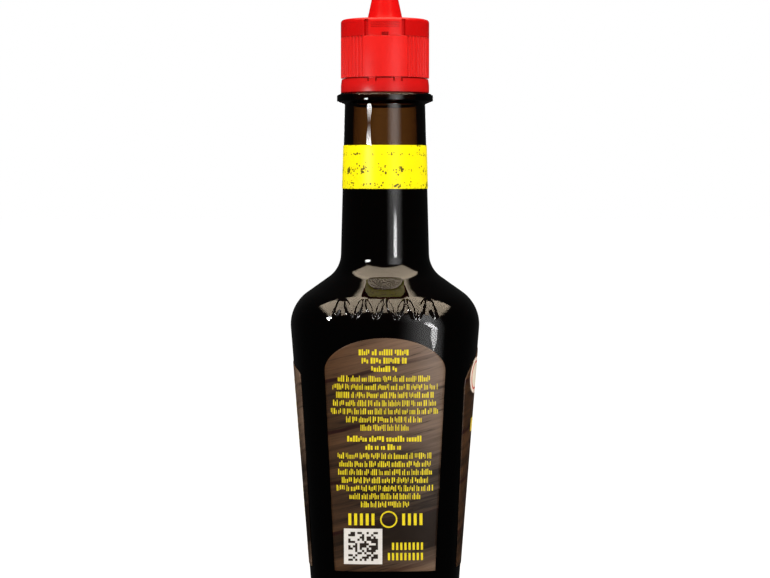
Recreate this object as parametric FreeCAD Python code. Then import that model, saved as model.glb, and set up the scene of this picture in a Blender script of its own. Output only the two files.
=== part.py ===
import FreeCAD, Part
import math
import os

# Small table bottle of liquid seasoning, standing on its base.
# Millimetres. +Z is up, the origin is the middle of the base where it stands, +X is the main
# label's side and -Y the side that carries the small print.
# The glass is a rounded square across the body and a circle along the neck. Each section is a
# superellipse |x/a|^n + |y/a|^n = 1: a is the half width across the flats, and n is 2 for a circle
# and more for a squarer section.

# ---- Glass: outline across the flats, from the base up ----
base_half = 18.1          # half width of the body, run down to the base plane
body_half = 23.82         # half width where the body line meets the shoulder line
body_height = 73.9        # from the base to that corner
neck_half = 11.11         # half width where the shoulder line meets the neck line
shoulder_rise = 9.1       # height from the body's corner to that corner
neck_top_half = 9.99      # half width of the neck under the collar
neck_length = 40.75       # from the neck's corner up to the collar's underside
heel_radius = 4.0         # rounding between body and base
shoulder_radius = 9.3     # outward rounding from body to shoulder
neck_radius = 7.1         # inward rounding from shoulder to neck

# ---- Glass: how square each section is ----
shoulder_exponent = 3.0   # at the widest part
base_exponent = 4.0       # at the base
squaring_power = 2.2      # how late the body turns squarer on its way down
squaring_below = 3.9      # the shoulder's exponent is reached this far below the body corner
rounding_above = 3.0      # the neck is a true circle from this far above the neck corner

# ---- Glass: walls and inside ----
body_wall = 2.3
neck_wall = 2.2
base_thickness = 4.5
inner_heel_radius = 5.0
bearing_width = 1.9       # flat ring that the bottle stands on, round the hollow base
pushup_depth = 2.0

# ---- Glass: collar and finish under the closure ----
collar_step = 0.97        # the collar stands out past the closure by this much
collar_height = 2.8       # from the underside at the neck to the seat of the closure
collar_rim_height = 1.45  # upright part of the rim
collar_rim_drop = 0.6     # the seat stands this much above the rim
collar_rounding = 0.35
finish_clearance = 0.15   # between the finish and the inside of the closure
finish_wall = 1.62
bore_rounding = 2.0       # inside rounding from the neck's taper to the straight bore

# ---- Raised ornament on the two shoulders, front and back ----
motif_count = 10
motif_pitch = 2.5
motif_rise = 0.4          # height of the row above the body's corner
motif_half_length = 3.1
motif_half_width = 0.75
motif_half_depth = 1.0
motif_proud = 0.5         # how far each grain stands out of the glass
motif_tilt_deg = 17.0     # the grains lean left and right in turn

# ---- Contents ----
fill_drop = 14.75         # level of the liquid below the collar, behind the neck band

# ---- Closure: ribbed skirt and tamper band ----
cap_step = 0.97           # the closure is this much wider than the neck's top, all round
cap_wall = 1.4
band_height = 3.35        # tamper band, from its seat on the collar
band_bevel_in = 0.2       # the band's top edge is drawn in by this much
band_bevel_height = 1.5
slit_height = 0.3
slit_depth = 1.0          # the slit reaches this far in from the outside
bridge_angle_deg = 17.2   # of each bridge from the middle of the front and of the back
bridge_width = 1.75
bridge_root = 0.4         # a bridge runs this far into the skirt and the band
tick_width = 0.28         # short upright cuts on both sides of a bridge
tick_height = 0.75
skirt_height = 9.95       # from the slit to the parting line with the lid
cap_plate = 1.2           # top plate over the glass
rib_pitch_deg = 5.5
rib_count = 55            # grooves, all round but for the smooth front
groove_half_angle_deg = 1.2
groove_depth = 0.22

# ---- Lid: ring, front tab and pointed nozzle cover, in one piece ----
lid_height = 4.45
lid_rounding = 0.8
tab_half_angle_deg = 23.2 # the front tab
tab_slot_angle_deg = 5.8  # width of the slot on each side of the tab
tab_slot_depth = 0.9
tab_slot_cover = 0.4      # the slot ends this far below the lid's top
tab_line_count = 3
tab_line_pitch = 0.5
tab_line_top = 1.25       # first line, below the lid's top
tab_line_height = 0.16
tab_line_depth = 0.12
tab_line_share = 0.85     # of the tab's width
notch_width = 1.6         # under the tab
notch_height = 0.85
notch_depth = 0.9
cone_base_radius = 4.32
cone_height = 13.15
cone_half_angle_deg = 12.0
cone_tip_share = 0.9      # the tip's rounding, of its radius
cone_foot_rounding = 0.4

# ---- Paper labels and neck band ----
paper = 0.2
label_bottom_z = 10.3
# half width at the bottom and where the arch starts, the arch's rise, and how far its top lies
# below the body's corner
small_label = {"bottom": 12.2, "top": 14.5, "rise": 8.0, "drop": 6.5}
main_label = {"bottom": 13.3, "top": 16.3, "rise": 7.9, "drop": 10.5}
plain_label = {"bottom": 12.2, "top": 14.4, "rise": 2.4, "drop": 13.9}
neck_band_drop = 10.15    # the band's upper edge below the collar
neck_band_height = 10.7

# ---- How finely the curved surfaces are drawn ----
section_points = 40
arc_steps = 6
straight_step = 4.0

# ---- Working allowances ----
past = 1.0                # cutting blocks and hidden roots run this far past a face
flat_edge = 1e-6          # an edge lower than this lies in one level

# ---- Worked out from the sizes above ----
body_top_z = body_height
neck_bottom_z = body_top_z + shoulder_rise
collar_z = neck_bottom_z + neck_length
cap_radius = neck_top_half + cap_step
collar_radius = cap_radius + collar_step
motif_z = body_top_z + motif_rise
fill_z = collar_z - fill_drop
neck_band_top_z = collar_z - neck_band_drop
seat_z = collar_z + collar_height
slit_z = seat_z + band_height
skirt_z = slit_z + slit_height
parting_z = skirt_z + skirt_height
finish_top_z = parting_z - cap_plate
lid_top_z = parting_z + lid_height
finish_radius = cap_radius - cap_wall - finish_clearance
bore_radius = finish_radius - finish_wall
front_angle = -math.pi / 2
back_angle = math.pi / 2


def vector(x, y, z):
    return FreeCAD.Vector(x, y, z)


def smooth_step(t):
    t = min(max(t, 0.0), 1.0)
    return t * t * (3 - 2 * t)


# ---------------------------------------------------------------- outlines
def arc_points(before, corner, after, radius, steps):
    """Points of the arc that rounds one corner of an outline of (half width, height) points."""
    ax, az = before[0] - corner[0], before[1] - corner[1]
    bx, bz = after[0] - corner[0], after[1] - corner[1]
    a_length, b_length = math.hypot(ax, az), math.hypot(bx, bz)
    ax, az, bx, bz = ax / a_length, az / a_length, bx / b_length, bz / b_length
    half_angle = math.acos(ax * bx + az * bz) / 2
    tangent = radius / math.tan(half_angle)
    reach = radius / math.sin(half_angle)
    mx, mz = ax + bx, az + bz
    middle_length = math.hypot(mx, mz)
    centre = (corner[0] + mx / middle_length * reach, corner[1] + mz / middle_length * reach)
    start = math.atan2(corner[1] + az * tangent - centre[1], corner[0] + ax * tangent - centre[0])
    end = math.atan2(corner[1] + bz * tangent - centre[1], corner[0] + bx * tangent - centre[0])
    turn = (end - start + math.pi) % (2 * math.pi) - math.pi
    angles = [start + turn * i / steps for i in range(steps + 1)]
    return [(centre[0] + radius * math.cos(t), centre[1] + radius * math.sin(t)) for t in angles]


def straight_points(start, end):
    """Points between two ends of a straight run, without the ends."""
    length = math.hypot(end[0] - start[0], end[1] - start[1])
    count = int(length / straight_step)
    shares = [i / (count + 1) for i in range(1, count + 1)]
    return [(start[0] + (end[0] - start[0]) * t, start[1] + (end[1] - start[1]) * t) for t in shares]


def outline_points(start, corners, end):
    """An outline from start to end, with each (half width, height, radius) corner rounded."""
    path = [start] + [c[:2] for c in corners] + [end]
    points = []
    for i, (half, z, radius) in enumerate(corners):
        arc = arc_points(path[i], (half, z), path[i + 2], radius, arc_steps)
        if points:
            points += straight_points(points[-1], arc[0])
        points += arc
    return points + straight_points(points[-1], end) + [end]


def meeting_point(p, p_direction, q, q_direction):
    """Where two lines of the outline meet."""
    cross = p_direction[0] * q_direction[1] - p_direction[1] * q_direction[0]
    t = ((q[0] - p[0]) * q_direction[1] - (q[1] - p[1]) * q_direction[0]) / cross
    return (p[0] + p_direction[0] * t, p[1] + p_direction[1] * t)


def line_moved_in(p, q, distance):
    """The line from p up to q, moved towards the bottle's axis side: a point and a direction."""
    dx, dz = q[0] - p[0], q[1] - p[1]
    length = math.hypot(dx, dz)
    direction = (dx / length, dz / length)
    return (p[0] - direction[1] * distance, p[1] + direction[0] * distance), direction


def glass_lines(offset_body, offset_neck):
    """The corners between body, shoulder and neck lines, each line moved in by its offset."""
    base = (base_half, 0.0)
    body = (body_half, body_top_z)
    neck = (neck_half, neck_bottom_z)
    top = (neck_top_half, collar_z)
    body_line = line_moved_in(base, body, offset_body)
    shoulder_line = line_moved_in(body, neck, offset_body)
    neck_line = line_moved_in(neck, top, offset_neck)
    return (meeting_point(*body_line, *shoulder_line), meeting_point(*shoulder_line, *neck_line),
            body_line, neck_line)


def at_height(line, z):
    """The point of a line of the outline at height z."""
    (px, pz), (dx, dz) = line
    return (px + dx * (z - pz) / dz, z)


def outer_outline(offset=0.0):
    """Outside of the glass, or a skin that far outside it."""
    body, neck, body_line, neck_line = glass_lines(-offset, -offset)
    heel = at_height(body_line, 0.0)
    corners = [(*heel, heel_radius), (*body, shoulder_radius + offset), (*neck, neck_radius - offset)]
    return outline_points((0.0, 0.0), corners, at_height(neck_line, collar_z + collar_height / 2))


def inner_outline():
    """Inside of the glass, from the bottom of the cavity to past the top of the finish."""
    body, neck, body_line, neck_line = glass_lines(body_wall, neck_wall)
    heel = at_height(body_line, base_thickness)
    neck_top = at_height(neck_line, collar_z)
    corners = [(*heel, inner_heel_radius), (*body, shoulder_radius - body_wall),
               (*neck, neck_radius + neck_wall), (*neck_top, bore_rounding),
               (bore_radius, seat_z, bore_rounding)]
    return outline_points((0.0, base_thickness), corners, (bore_radius, finish_top_z + past))


# ---------------------------------------------------------------- rounded square sections
def section_exponent(z):
    """How square the section is at height z, on both faces of the glass."""
    square_z = body_top_z - squaring_below
    round_z = neck_bottom_z + rounding_above
    if z >= square_z:
        return 2 + (shoulder_exponent - 2) * smooth_step((round_z - z) / (round_z - square_z))
    share = (square_z - max(z, 0.0)) / square_z
    return shoulder_exponent + (base_exponent - shoulder_exponent) * share ** squaring_power


def section_curve(half, z):
    """Closed superellipse section of the given half width across the flats."""
    n = section_exponent(z)
    points = []
    for i in range(section_points):
        t = 2 * math.pi * i / section_points
        r = half / (abs(math.cos(t)) ** n + abs(math.sin(t)) ** n) ** (1 / n)
        points.append(vector(r * math.cos(t), r * math.sin(t), z))
    curve = Part.BSplineCurve()
    curve.interpolate(Points=points, PeriodicFlag=True,
                      Parameters=[i / section_points for i in range(section_points + 1)])
    return curve


def heights_along(outline):
    """Distance run along an outline at each of its points, from 0 to 1."""
    run = [0.0]
    for (a, za), (b, zb) in zip(outline, outline[1:]):
        run.append(run[-1] + math.hypot(b - a, zb - za))
    return [r / run[-1] for r in run]


def lofted(outline):
    """Solid whose skin runs smoothly through the rounded-square sections of an outline."""
    sections = [section_curve(half, z) for half, z in outline]
    run = heights_along(outline)
    rows = []
    for column in zip(*[section.getPoles() for section in sections]):
        upright = Part.BSplineCurve()
        upright.interpolate(Points=list(column), Parameters=run)
        rows.append(upright.getPoles())
    round_curve = sections[0]
    skin = Part.BSplineSurface()
    skin.buildFromPolesMultsKnots(rows, round_curve.getMultiplicities(), upright.getMultiplicities(),
                                  round_curve.getKnots(), upright.getKnots(), True, False,
                                  round_curve.Degree, upright.Degree)
    side = skin.toShape()
    ends = [edge for edge in side.Edges if edge.isClosed() and edge.BoundBox.ZLength < flat_edge]
    caps = [Part.Face(Part.Wire([edge])) for edge in ends]
    shell = Part.Shell([side] + caps)
    shell.sewShape()
    solid = Part.Solid(shell)
    return solid if solid.Volume > 0 else Part.Solid(shell.reversed())


def revolved(points):
    """Solid of revolution round Z of a closed outline of (radius, height) points."""
    wire = Part.makePolygon([vector(r, 0, z) for r, z in points + points[:1]])
    return Part.Face(wire).revolve(vector(0, 0, 0), vector(0, 0, 1), 360)


def revolved_rounded(corners):
    """Solid of revolution of (radius, height, rounding) corners, arcs where a rounding is given."""
    edges = []
    count = len(corners)
    ends = []
    for i, (r, z, rounding) in enumerate(corners):
        if rounding == 0:
            ends.append(((r, z), (r, z)))
            continue
        arc = arc_points(corners[i - 1][:2], (r, z), corners[(i + 1) % count][:2], rounding, 2)
        edges.append(Part.Arc(*[vector(p[0], 0, p[1]) for p in arc]).toShape())
        ends.append((arc[0], arc[2]))
    for i in range(count):
        start, end = ends[i][1], ends[(i + 1) % count][0]
        edges.append(Part.LineSegment(vector(start[0], 0, start[1]), vector(end[0], 0, end[1])).toShape())
    wire = Part.Wire(Part.__sortEdges__(edges))
    return Part.Face(wire).revolve(vector(0, 0, 0), vector(0, 0, 1), 360)


# ---------------------------------------------------------------- glass
def collar_and_finish():
    """Collar bead under the closure, and the plain finish inside it."""
    rim_top_z = seat_z - collar_rim_drop
    rim_bottom_z = rim_top_z - collar_rim_height
    slope = (rim_bottom_z - collar_z) / (collar_radius - neck_top_half)
    inside = neck_top_half - neck_wall / 2
    inside_z = collar_z - slope * (neck_top_half - inside)
    return revolved_rounded([
        (0.0, inside_z, 0), (inside, inside_z, 0),
        (collar_radius, rim_bottom_z, collar_rounding), (collar_radius, rim_top_z, collar_rounding),
        (cap_radius, seat_z, 0), (finish_radius, seat_z, 0),
        (finish_radius, finish_top_z, 0), (0.0, finish_top_z, 0)])


def half_width_at(outline, z):
    """Half width of an outline at height z, with the outline's slope there."""
    for (a, za), (b, zb) in zip(outline, outline[1:]):
        if za <= z <= zb:
            return a + (b - a) * (z - za) / (zb - za), (b - a) / (zb - za)
    raise ValueError("no such height on the outline")


def ornament_grain(index, side):
    """One raised grain of the shoulder's row: an ellipsoid that stands a little out of the glass."""
    x = (index - (motif_count - 1) / 2) * motif_pitch
    half, slope = half_width_at(outer_outline(), motif_z)
    n = section_exponent(motif_z)
    y = (half ** n - abs(x) ** n) ** (1 / n)
    gx = math.copysign((abs(x) / half) ** (n - 1), x)
    gy = (y / half) ** (n - 1)
    normal = vector(gx, gy, -slope * (abs(x) * abs(gx) + y * gy) / half)
    normal.normalize()
    along = vector(0, 0, 1).cross(normal)
    along.normalize()
    up = normal.cross(along)
    tilt = math.radians(motif_tilt_deg) * (1 if index % 2 else -1)
    width_axis = along * math.cos(tilt) + up * math.sin(tilt)
    length_axis = up * math.cos(tilt) - along * math.sin(tilt)
    centre = vector(x, y, motif_z) + normal * (motif_proud - motif_half_depth)
    a, b, c = (width_axis * motif_half_width, length_axis * motif_half_length, normal * motif_half_depth)
    matrix = FreeCAD.Matrix(a.x, b.x, c.x, centre.x, a.y, b.y, c.y, centre.y,
                            a.z, b.z, c.z, centre.z, 0, 0, 0, 1)
    grain = Part.makeSphere(1.0).transformGeometry(matrix)
    if side < 0:
        grain.rotate(vector(0, 0, 0), vector(0, 0, 1), 180)
    return grain


def base_hollow():
    """Shallow dome that lifts the middle of the base off the table."""
    flat_half = outer_outline()[0][0]
    rim_radius = flat_half - bearing_width
    dome_radius = (rim_radius ** 2 + pushup_depth ** 2) / (2 * pushup_depth)
    return Part.makeSphere(dome_radius, vector(0, 0, pushup_depth - dome_radius))


def cavity():
    return lofted(inner_outline())


def glass(hollow):
    """The bottle: one piece of glass with its collar, finish, ornament and hollow base."""
    outside = lofted(outer_outline()).fuse(collar_and_finish())
    grains = [ornament_grain(i, side) for side in (-1, 1) for i in range(motif_count)]
    outside = outside.fuse(grains)
    return outside.cut([hollow, base_hollow()])


def below(z):
    """Block that reaches from under the base up to height z."""
    size = 4 * body_half
    return Part.makeBox(size, size, z + size, vector(-size / 2, -size / 2, -size))


def contents(hollow):
    return hollow.common(below(fill_z))


# ---------------------------------------------------------------- closure
def wedge(inner_radius, outer_radius, z, height, start_angle, end_angle):
    """Block of ring between two radii and two angles (radians)."""
    def at(radius, angle):
        return vector(radius * math.cos(angle), radius * math.sin(angle), z)
    middle = (start_angle + end_angle) / 2
    outer = Part.Arc(at(outer_radius, start_angle), at(outer_radius, middle), at(outer_radius, end_angle))
    inner = Part.Arc(at(inner_radius, end_angle), at(inner_radius, middle), at(inner_radius, start_angle))
    sides = [Part.makeLine(at(outer_radius, end_angle), at(inner_radius, end_angle)),
             Part.makeLine(at(inner_radius, start_angle), at(outer_radius, start_angle))]
    wire = Part.Wire([outer.toShape(), sides[0], inner.toShape(), sides[1]])
    return Part.Face(wire).extrude(vector(0, 0, height))


def ribbed_skirt():
    """Skirt with upright grooves all round but for the smooth front."""
    def at(radius, angle):
        return vector(radius * math.cos(angle), radius * math.sin(angle), skirt_z)
    pitch = math.radians(rib_pitch_deg)
    half_groove = math.radians(groove_half_angle_deg)
    first = back_angle - pitch * (rib_count - 1) / 2
    edges = []
    for i in range(rib_count):
        angle = first + pitch * i
        groove = (at(cap_radius, angle - half_groove), at(cap_radius - groove_depth, angle),
                  at(cap_radius, angle + half_groove))
        edges.append(Part.Arc(*groove).toShape())
        next_angle = angle + pitch if i < rib_count - 1 else first + 2 * math.pi
        land = (angle + half_groove, next_angle - half_groove)
        edges.append(Part.Arc(at(cap_radius, land[0]), at(cap_radius, sum(land) / 2),
                              at(cap_radius, land[1])).toShape())
    return Part.Face(Part.Wire(edges)).extrude(vector(0, 0, skirt_height))


def tamper_band():
    """Band under the slit, with its top edge drawn in."""
    return revolved([(0.0, seat_z), (cap_radius, seat_z), (cap_radius, slit_z - band_bevel_height),
                     (cap_radius - band_bevel_in, slit_z), (0.0, slit_z)])


def closure():
    """Skirt, bridges and tamper band in one piece, open below for the finish."""
    root = slit_height + 2 * bridge_root
    behind_slit = Part.makeCylinder(cap_radius - slit_depth, root, vector(0, 0, slit_z - bridge_root))
    body = tamper_band().fuse([behind_slit, ribbed_skirt()])
    bridge_half = bridge_width / 2 / cap_radius
    tick = tick_width / cap_radius
    bridges = []
    ticks = []
    for middle in (front_angle, back_angle):
        for side in (-1, 1):
            angle = middle + side * math.radians(bridge_angle_deg)
            bridges.append(wedge(cap_radius - cap_wall, cap_radius - band_bevel_in, slit_z - bridge_root,
                                 root, angle - bridge_half, angle + bridge_half))
            for edge in (angle - bridge_half - tick, angle + bridge_half):
                ticks.append(wedge(cap_radius - slit_depth, cap_radius + past, slit_z - tick_height,
                                   tick_height + slit_height, edge, edge + tick))
    inside = Part.makeCylinder(cap_radius - cap_wall, finish_top_z - seat_z + past,
                               vector(0, 0, seat_z - past))
    return body.fuse(bridges).cut(ticks + [inside])


# ---------------------------------------------------------------- lid
def nozzle_cover():
    """Pointed cover over the pouring hole, a cone with a rounded tip."""
    slope = math.tan(math.radians(cone_half_angle_deg))
    tip_z = lid_top_z + cone_height
    tip_radius = cone_base_radius - slope * cone_height
    foot = cone_base_radius + slope * cone_foot_rounding
    return revolved_rounded([
        (0.0, lid_top_z - lid_rounding, 0), (foot + past, lid_top_z - lid_rounding, 0),
        (foot + past, lid_top_z, 0), (foot, lid_top_z, cone_foot_rounding),
        (tip_radius, tip_z, tip_radius * cone_tip_share), (0.0, tip_z, 0)])


def lid():
    """Lid ring with its front tab, the notch under it and the nozzle cover."""
    body = revolved_rounded([(0.0, parting_z, 0), (cap_radius, parting_z, 0),
                             (cap_radius, lid_top_z, lid_rounding), (0.0, lid_top_z, 0)])
    body = body.fuse(nozzle_cover())
    tab = math.radians(tab_half_angle_deg)
    slot = math.radians(tab_slot_angle_deg)
    cuts = []
    for start in (front_angle - tab - slot, front_angle + tab):
        cuts.append(wedge(cap_radius - tab_slot_depth, cap_radius + past, parting_z - past,
                          lid_height + past - tab_slot_cover, start, start + slot))
    for i in range(tab_line_count):
        z = lid_top_z - tab_line_top - i * tab_line_pitch - tab_line_height / 2
        cuts.append(wedge(cap_radius - tab_line_depth, cap_radius + past, z, tab_line_height,
                          front_angle - tab * tab_line_share, front_angle + tab * tab_line_share))
    notch = notch_width / 2 / cap_radius
    cuts.append(wedge(cap_radius - notch_depth, cap_radius + past, parting_z - past, notch_height + past,
                      front_angle - notch, front_angle + notch))
    return body.cut(cuts)


# ---------------------------------------------------------------- paper
def arch_block(label, angle_deg):
    """Block with the label's arched outline, reaching out through the side at that angle."""
    bottom, top, rise, drop = (label[k] for k in ("bottom", "top", "rise", "drop"))
    spring_z = body_top_z - drop - rise
    reach = 2 * body_half
    corners = [vector(-top, 0, spring_z), vector(-bottom, 0, label_bottom_z),
               vector(bottom, 0, label_bottom_z), vector(top, 0, spring_z)]
    sides = [Part.makeLine(a, b) for a, b in zip(corners, corners[1:])]
    ellipse = Part.Ellipse(vector(0, 0, spring_z), max(top, rise), min(top, rise))
    arch = ellipse.toShape(0, math.pi)
    arch.rotate(vector(0, 0, spring_z), vector(1, 0, 0), 90)
    face = Part.Face(Part.Wire(Part.__sortEdges__(sides + [arch])))
    block = face.extrude(vector(0, -reach, 0))
    block.rotate(vector(0, 0, 0), vector(0, 0, 1), angle_deg)
    return block


def paper_label(label, angle_deg, skin, inside):
    """One label, lying on the glass."""
    return skin.common(arch_block(label, angle_deg)).cut(inside)


def neck_band(skin, inside):
    ring = Part.makeCylinder(2 * neck_half, neck_band_height,
                             vector(0, 0, neck_band_top_z - neck_band_height))
    return skin.common(ring).cut(inside)


def build():
    hollow = cavity()
    plain_glass = lofted(outer_outline())
    skin = lofted(outer_outline(paper))
    return {
        "bottle": glass(hollow),
        "sauce": contents(hollow),
        "closure": closure(),
        "lid": lid(),
        "neck_band": neck_band(skin, plain_glass),
        "label_main": paper_label(main_label, 90, skin, plain_glass),
        "label_rear": paper_label(plain_label, -90, skin, plain_glass),
        "label_side_a": paper_label(small_label, 0, skin, plain_glass),
        "label_side_b": paper_label(small_label, 180, skin, plain_glass),
    }


os.makedirs("parts", exist_ok=True)
for name, shape in build().items():
    solids = shape.Solids
    box = shape.BoundBox
    print(f"{name:14s} solids {len(solids)} valid {shape.isValid()} volume {shape.Volume:9.1f} "
          f"x {box.XMin:7.2f} {box.XMax:6.2f} y {box.YMin:7.2f} {box.YMax:6.2f} "
          f"z {box.ZMin:6.2f} {box.ZMax:7.2f} faces {len(shape.Faces)}")
    solids[0].exportStep(f"parts/{name}.step")
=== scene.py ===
# %% [markdown]
# # A filled bottle of table seasoning
# The object is a small amber glass bottle with a rounded-square body and a long round neck, filled
# with a nearly black sauce, shut with a red ribbed closure and dressed with four paper labels and a
# yellow neck band. The solid model fixes every size. This lesson gives each piece its finish.
# All lengths below are in millimetres until they reach a mesh, because that is how glass and caps
# are drawn; `MM` turns them into Blender's metres.

# %% The frame: the solid model and its box
import bpy
import math
import random
from functools import partialmethod
from itertools import accumulate
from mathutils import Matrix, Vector


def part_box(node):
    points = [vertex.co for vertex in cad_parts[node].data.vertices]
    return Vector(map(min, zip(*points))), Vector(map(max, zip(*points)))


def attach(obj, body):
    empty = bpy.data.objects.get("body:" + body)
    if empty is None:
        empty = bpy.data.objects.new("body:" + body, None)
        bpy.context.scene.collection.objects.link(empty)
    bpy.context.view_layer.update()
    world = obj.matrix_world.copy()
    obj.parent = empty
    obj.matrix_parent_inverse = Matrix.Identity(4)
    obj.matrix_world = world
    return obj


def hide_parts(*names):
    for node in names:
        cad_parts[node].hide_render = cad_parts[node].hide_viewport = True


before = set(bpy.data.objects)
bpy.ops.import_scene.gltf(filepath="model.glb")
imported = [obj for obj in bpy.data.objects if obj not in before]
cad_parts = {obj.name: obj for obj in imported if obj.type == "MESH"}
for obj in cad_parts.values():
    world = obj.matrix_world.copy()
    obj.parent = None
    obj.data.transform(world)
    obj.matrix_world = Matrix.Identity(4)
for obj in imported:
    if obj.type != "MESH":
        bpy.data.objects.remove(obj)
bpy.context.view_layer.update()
MM = 0.001


def reach_of(node):
    """Half width, lowest and highest level of a solid piece, in millimetres."""
    low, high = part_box(node)
    return (high.x - low.x) / 2 / MM, low.z / MM, high.z / MM


# %% [markdown]
# ## Formulas as node trees
# Node trees are drawn by hand in Blender, but a long sum of Math nodes is hard to read and to
# change. The small `Field` class lets a tree be written like ordinary arithmetic: every `+` or `*`
# adds one Math node. It serves both kinds of tree here, the ones that make shapes and the ones that
# make materials, because both use the same Math node.

# %% A field that builds Math nodes
class Field:
    """A number that varies over a surface. Arithmetic on it adds nodes to its tree."""

    def __init__(self, tree, socket):
        self.tree, self.socket = tree, socket

    def math(self, operation, *others, first=None):
        node = self.tree.nodes.new("ShaderNodeMath")
        node.operation = operation
        values = [self if first is None else first, *others]
        for socket, value in zip(node.inputs, values):
            connect(self.tree, value, socket)
        return Field(self.tree, node.outputs[0])

    __add__ = __radd__ = partialmethod(math, "ADD")
    __mul__ = __rmul__ = partialmethod(math, "MULTIPLY")
    __sub__ = partialmethod(math, "SUBTRACT")
    __truediv__ = partialmethod(math, "DIVIDE")
    __pow__ = partialmethod(math, "POWER")
    abs = partialmethod(math, "ABSOLUTE")

    def __rsub__(self, other):
        return self.math("SUBTRACT", self, first=other)

    def __rtruediv__(self, other):
        return self.math("DIVIDE", self, first=other)

    def __neg__(self):
        return self * -1.0

    def above(self, edge, soft=None):
        """1 where the field is above the edge, else 0, with a soft step if asked for."""
        if soft is None:
            return self.math("GREATER_THAN", edge)
        return ((self - edge) * (1 / soft) + 0.5).clamped()

    def below(self, edge, soft=None):
        return 1 - self.above(edge, soft)

    def between(self, low, high):
        return self.above(low) * self.below(high)

    def clamped(self):
        return self.math("MINIMUM", 1.0).math("MAXIMUM", 0.0)

    def smooth(self):
        """The usual smooth step of a field between 0 and 1."""
        return self * self * (3 - 2 * self)


def connect(tree, value, socket):
    """Gives a node's input a constant, or a link from another node."""
    if isinstance(value, Field):
        tree.links.new(value.socket, socket)
    elif isinstance(value, bpy.types.NodeSocket):
        tree.links.new(value, socket)
    elif value is not None:
        socket.default_value = value


def add_node(tree, kind, inputs=(), **settings):
    """Adds a node with its settings. inputs are (name or number, value) pairs."""
    node = tree.nodes.new(kind)
    for name, value in settings.items():
        setattr(node, name, value)
    for name, value in dict(inputs).items():
        connect(tree, value, node.inputs[name])
    return node


def pieces_of(tree, vector):
    """The three numbers of a vector, as fields."""
    node = add_node(tree, "ShaderNodeSeparateXYZ", {0: vector})
    return [Field(tree, socket) for socket in node.outputs]


def place(tree, x, y, z):
    """A vector of three numbers."""
    return add_node(tree, "ShaderNodeCombineXYZ", {0: x, 1: y, 2: z}).outputs[0]


print("helpers for formulas: arithmetic, steps, parts of a vector")

# %% [markdown]
# ## Running a shape tree
# A Geometry Nodes tree belongs to a modifier. Its named inputs are set by each socket's identifier
# before the first evaluation, then the evaluated result is copied into a plain mesh. A plain mesh
# exports anywhere, and its faces can be checked to point outwards.

# %% Shape trees and plain meshes
def shape_tree(name, **inputs):
    """A new Geometry Nodes tree and its named inputs. A default's kind gives the input's kind."""
    tree = bpy.data.node_groups.new(name, "GeometryNodeTree")
    face = tree.interface
    kinds = {int: "NodeSocketInt", float: "NodeSocketFloat", type(None): "NodeSocketMaterial"}
    face.new_socket("Geometry", in_out="INPUT", socket_type="NodeSocketGeometry")
    for label, default in inputs.items():
        socket = face.new_socket(label, in_out="INPUT", socket_type=kinds[type(default)])
        if default is not None:
            socket.default_value = default
    face.new_socket("Geometry", in_out="OUTPUT", socket_type="NodeSocketGeometry")
    start = tree.nodes.new("NodeGroupInput")
    return tree, {s.name: Field(tree, s) for s in start.outputs if s.name}


def end_tree(tree, geometry, material):
    """Turns millimetres into metres, realizes the instances, sets the material and ends the tree."""
    metres = add_node(tree, "GeometryNodeTransform", {"Geometry": geometry, "Scale": (MM, MM, MM)})
    real = add_node(tree, "GeometryNodeRealizeInstances", {0: metres.outputs[0]})
    dressed = add_node(tree, "GeometryNodeSetMaterial",
                       {"Geometry": real.outputs[0], "Material": material})
    end = tree.nodes.new("NodeGroupOutput")
    tree.links.new(dressed.outputs[0], end.inputs[0])


def new_object(name, data):
    """An object at the origin, in the scene."""
    made = bpy.data.objects.new(name, data)
    bpy.context.scene.collection.objects.link(made)
    return made


def run_tree(name, start_mesh, tree, **values):
    """Runs a tree on a start mesh and returns the result as a plain object at the origin."""
    start = new_object(name + "_start", start_mesh)
    modifier = start.modifiers.new("tree", "NODES")
    modifier.node_group = tree
    for item in tree.interface.items_tree:
        if item.item_type == "SOCKET" and item.in_out == "INPUT" and item.name.lower() in values:
            modifier[item.identifier] = values[item.name.lower()]
    bpy.context.view_layer.update()
    evaluated = start.evaluated_get(bpy.context.evaluated_depsgraph_get())
    mesh = bpy.data.meshes.new_from_object(evaluated)
    bpy.data.objects.remove(start)
    mesh.name = name
    return new_object(name, mesh)


def facing_out(piece):
    """Points a closed piece's faces outwards: the volume inside them is then above zero."""
    mesh = piece.data
    mesh.calc_loop_triangles()
    points = [v.co for v in mesh.vertices]
    volume = sum(points[a].dot(points[b].cross(points[c])) for a, b, c in
                 (t.vertices for t in mesh.loop_triangles)) / 6
    if volume < 0:
        mesh.flip_normals()
    print(f"{piece.name}: {len(mesh.loop_triangles)} triangles, {abs(volume) / MM ** 3:.0f} cubic mm")
    return piece


def loose_points(name, points, **attributes):
    """A mesh of loose points, with one number per point for each attribute."""
    mesh = bpy.data.meshes.new(name)
    mesh.from_pydata(points, [], [])
    for label, numbers in attributes.items():
        layer = mesh.attributes.new(label, "FLOAT", "POINT")
        layer.data.foreach_set("value", numbers)
    return mesh

# %% [markdown]
# ## The outline of the glass
# A bottle maker draws one half of the bottle: straight lines for body, shoulder and neck, with arcs
# between them, then the collar bead, the finish under the cap and the inside. The outline below runs
# once round that drawing, from the middle of the hollow base to the middle of the cavity's floor, so
# that the skin that follows it is one closed piece of glass with a real wall. A hand-drawn curve
# would do, but the drawing's own corners and radii are exact and easy to change.

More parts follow.
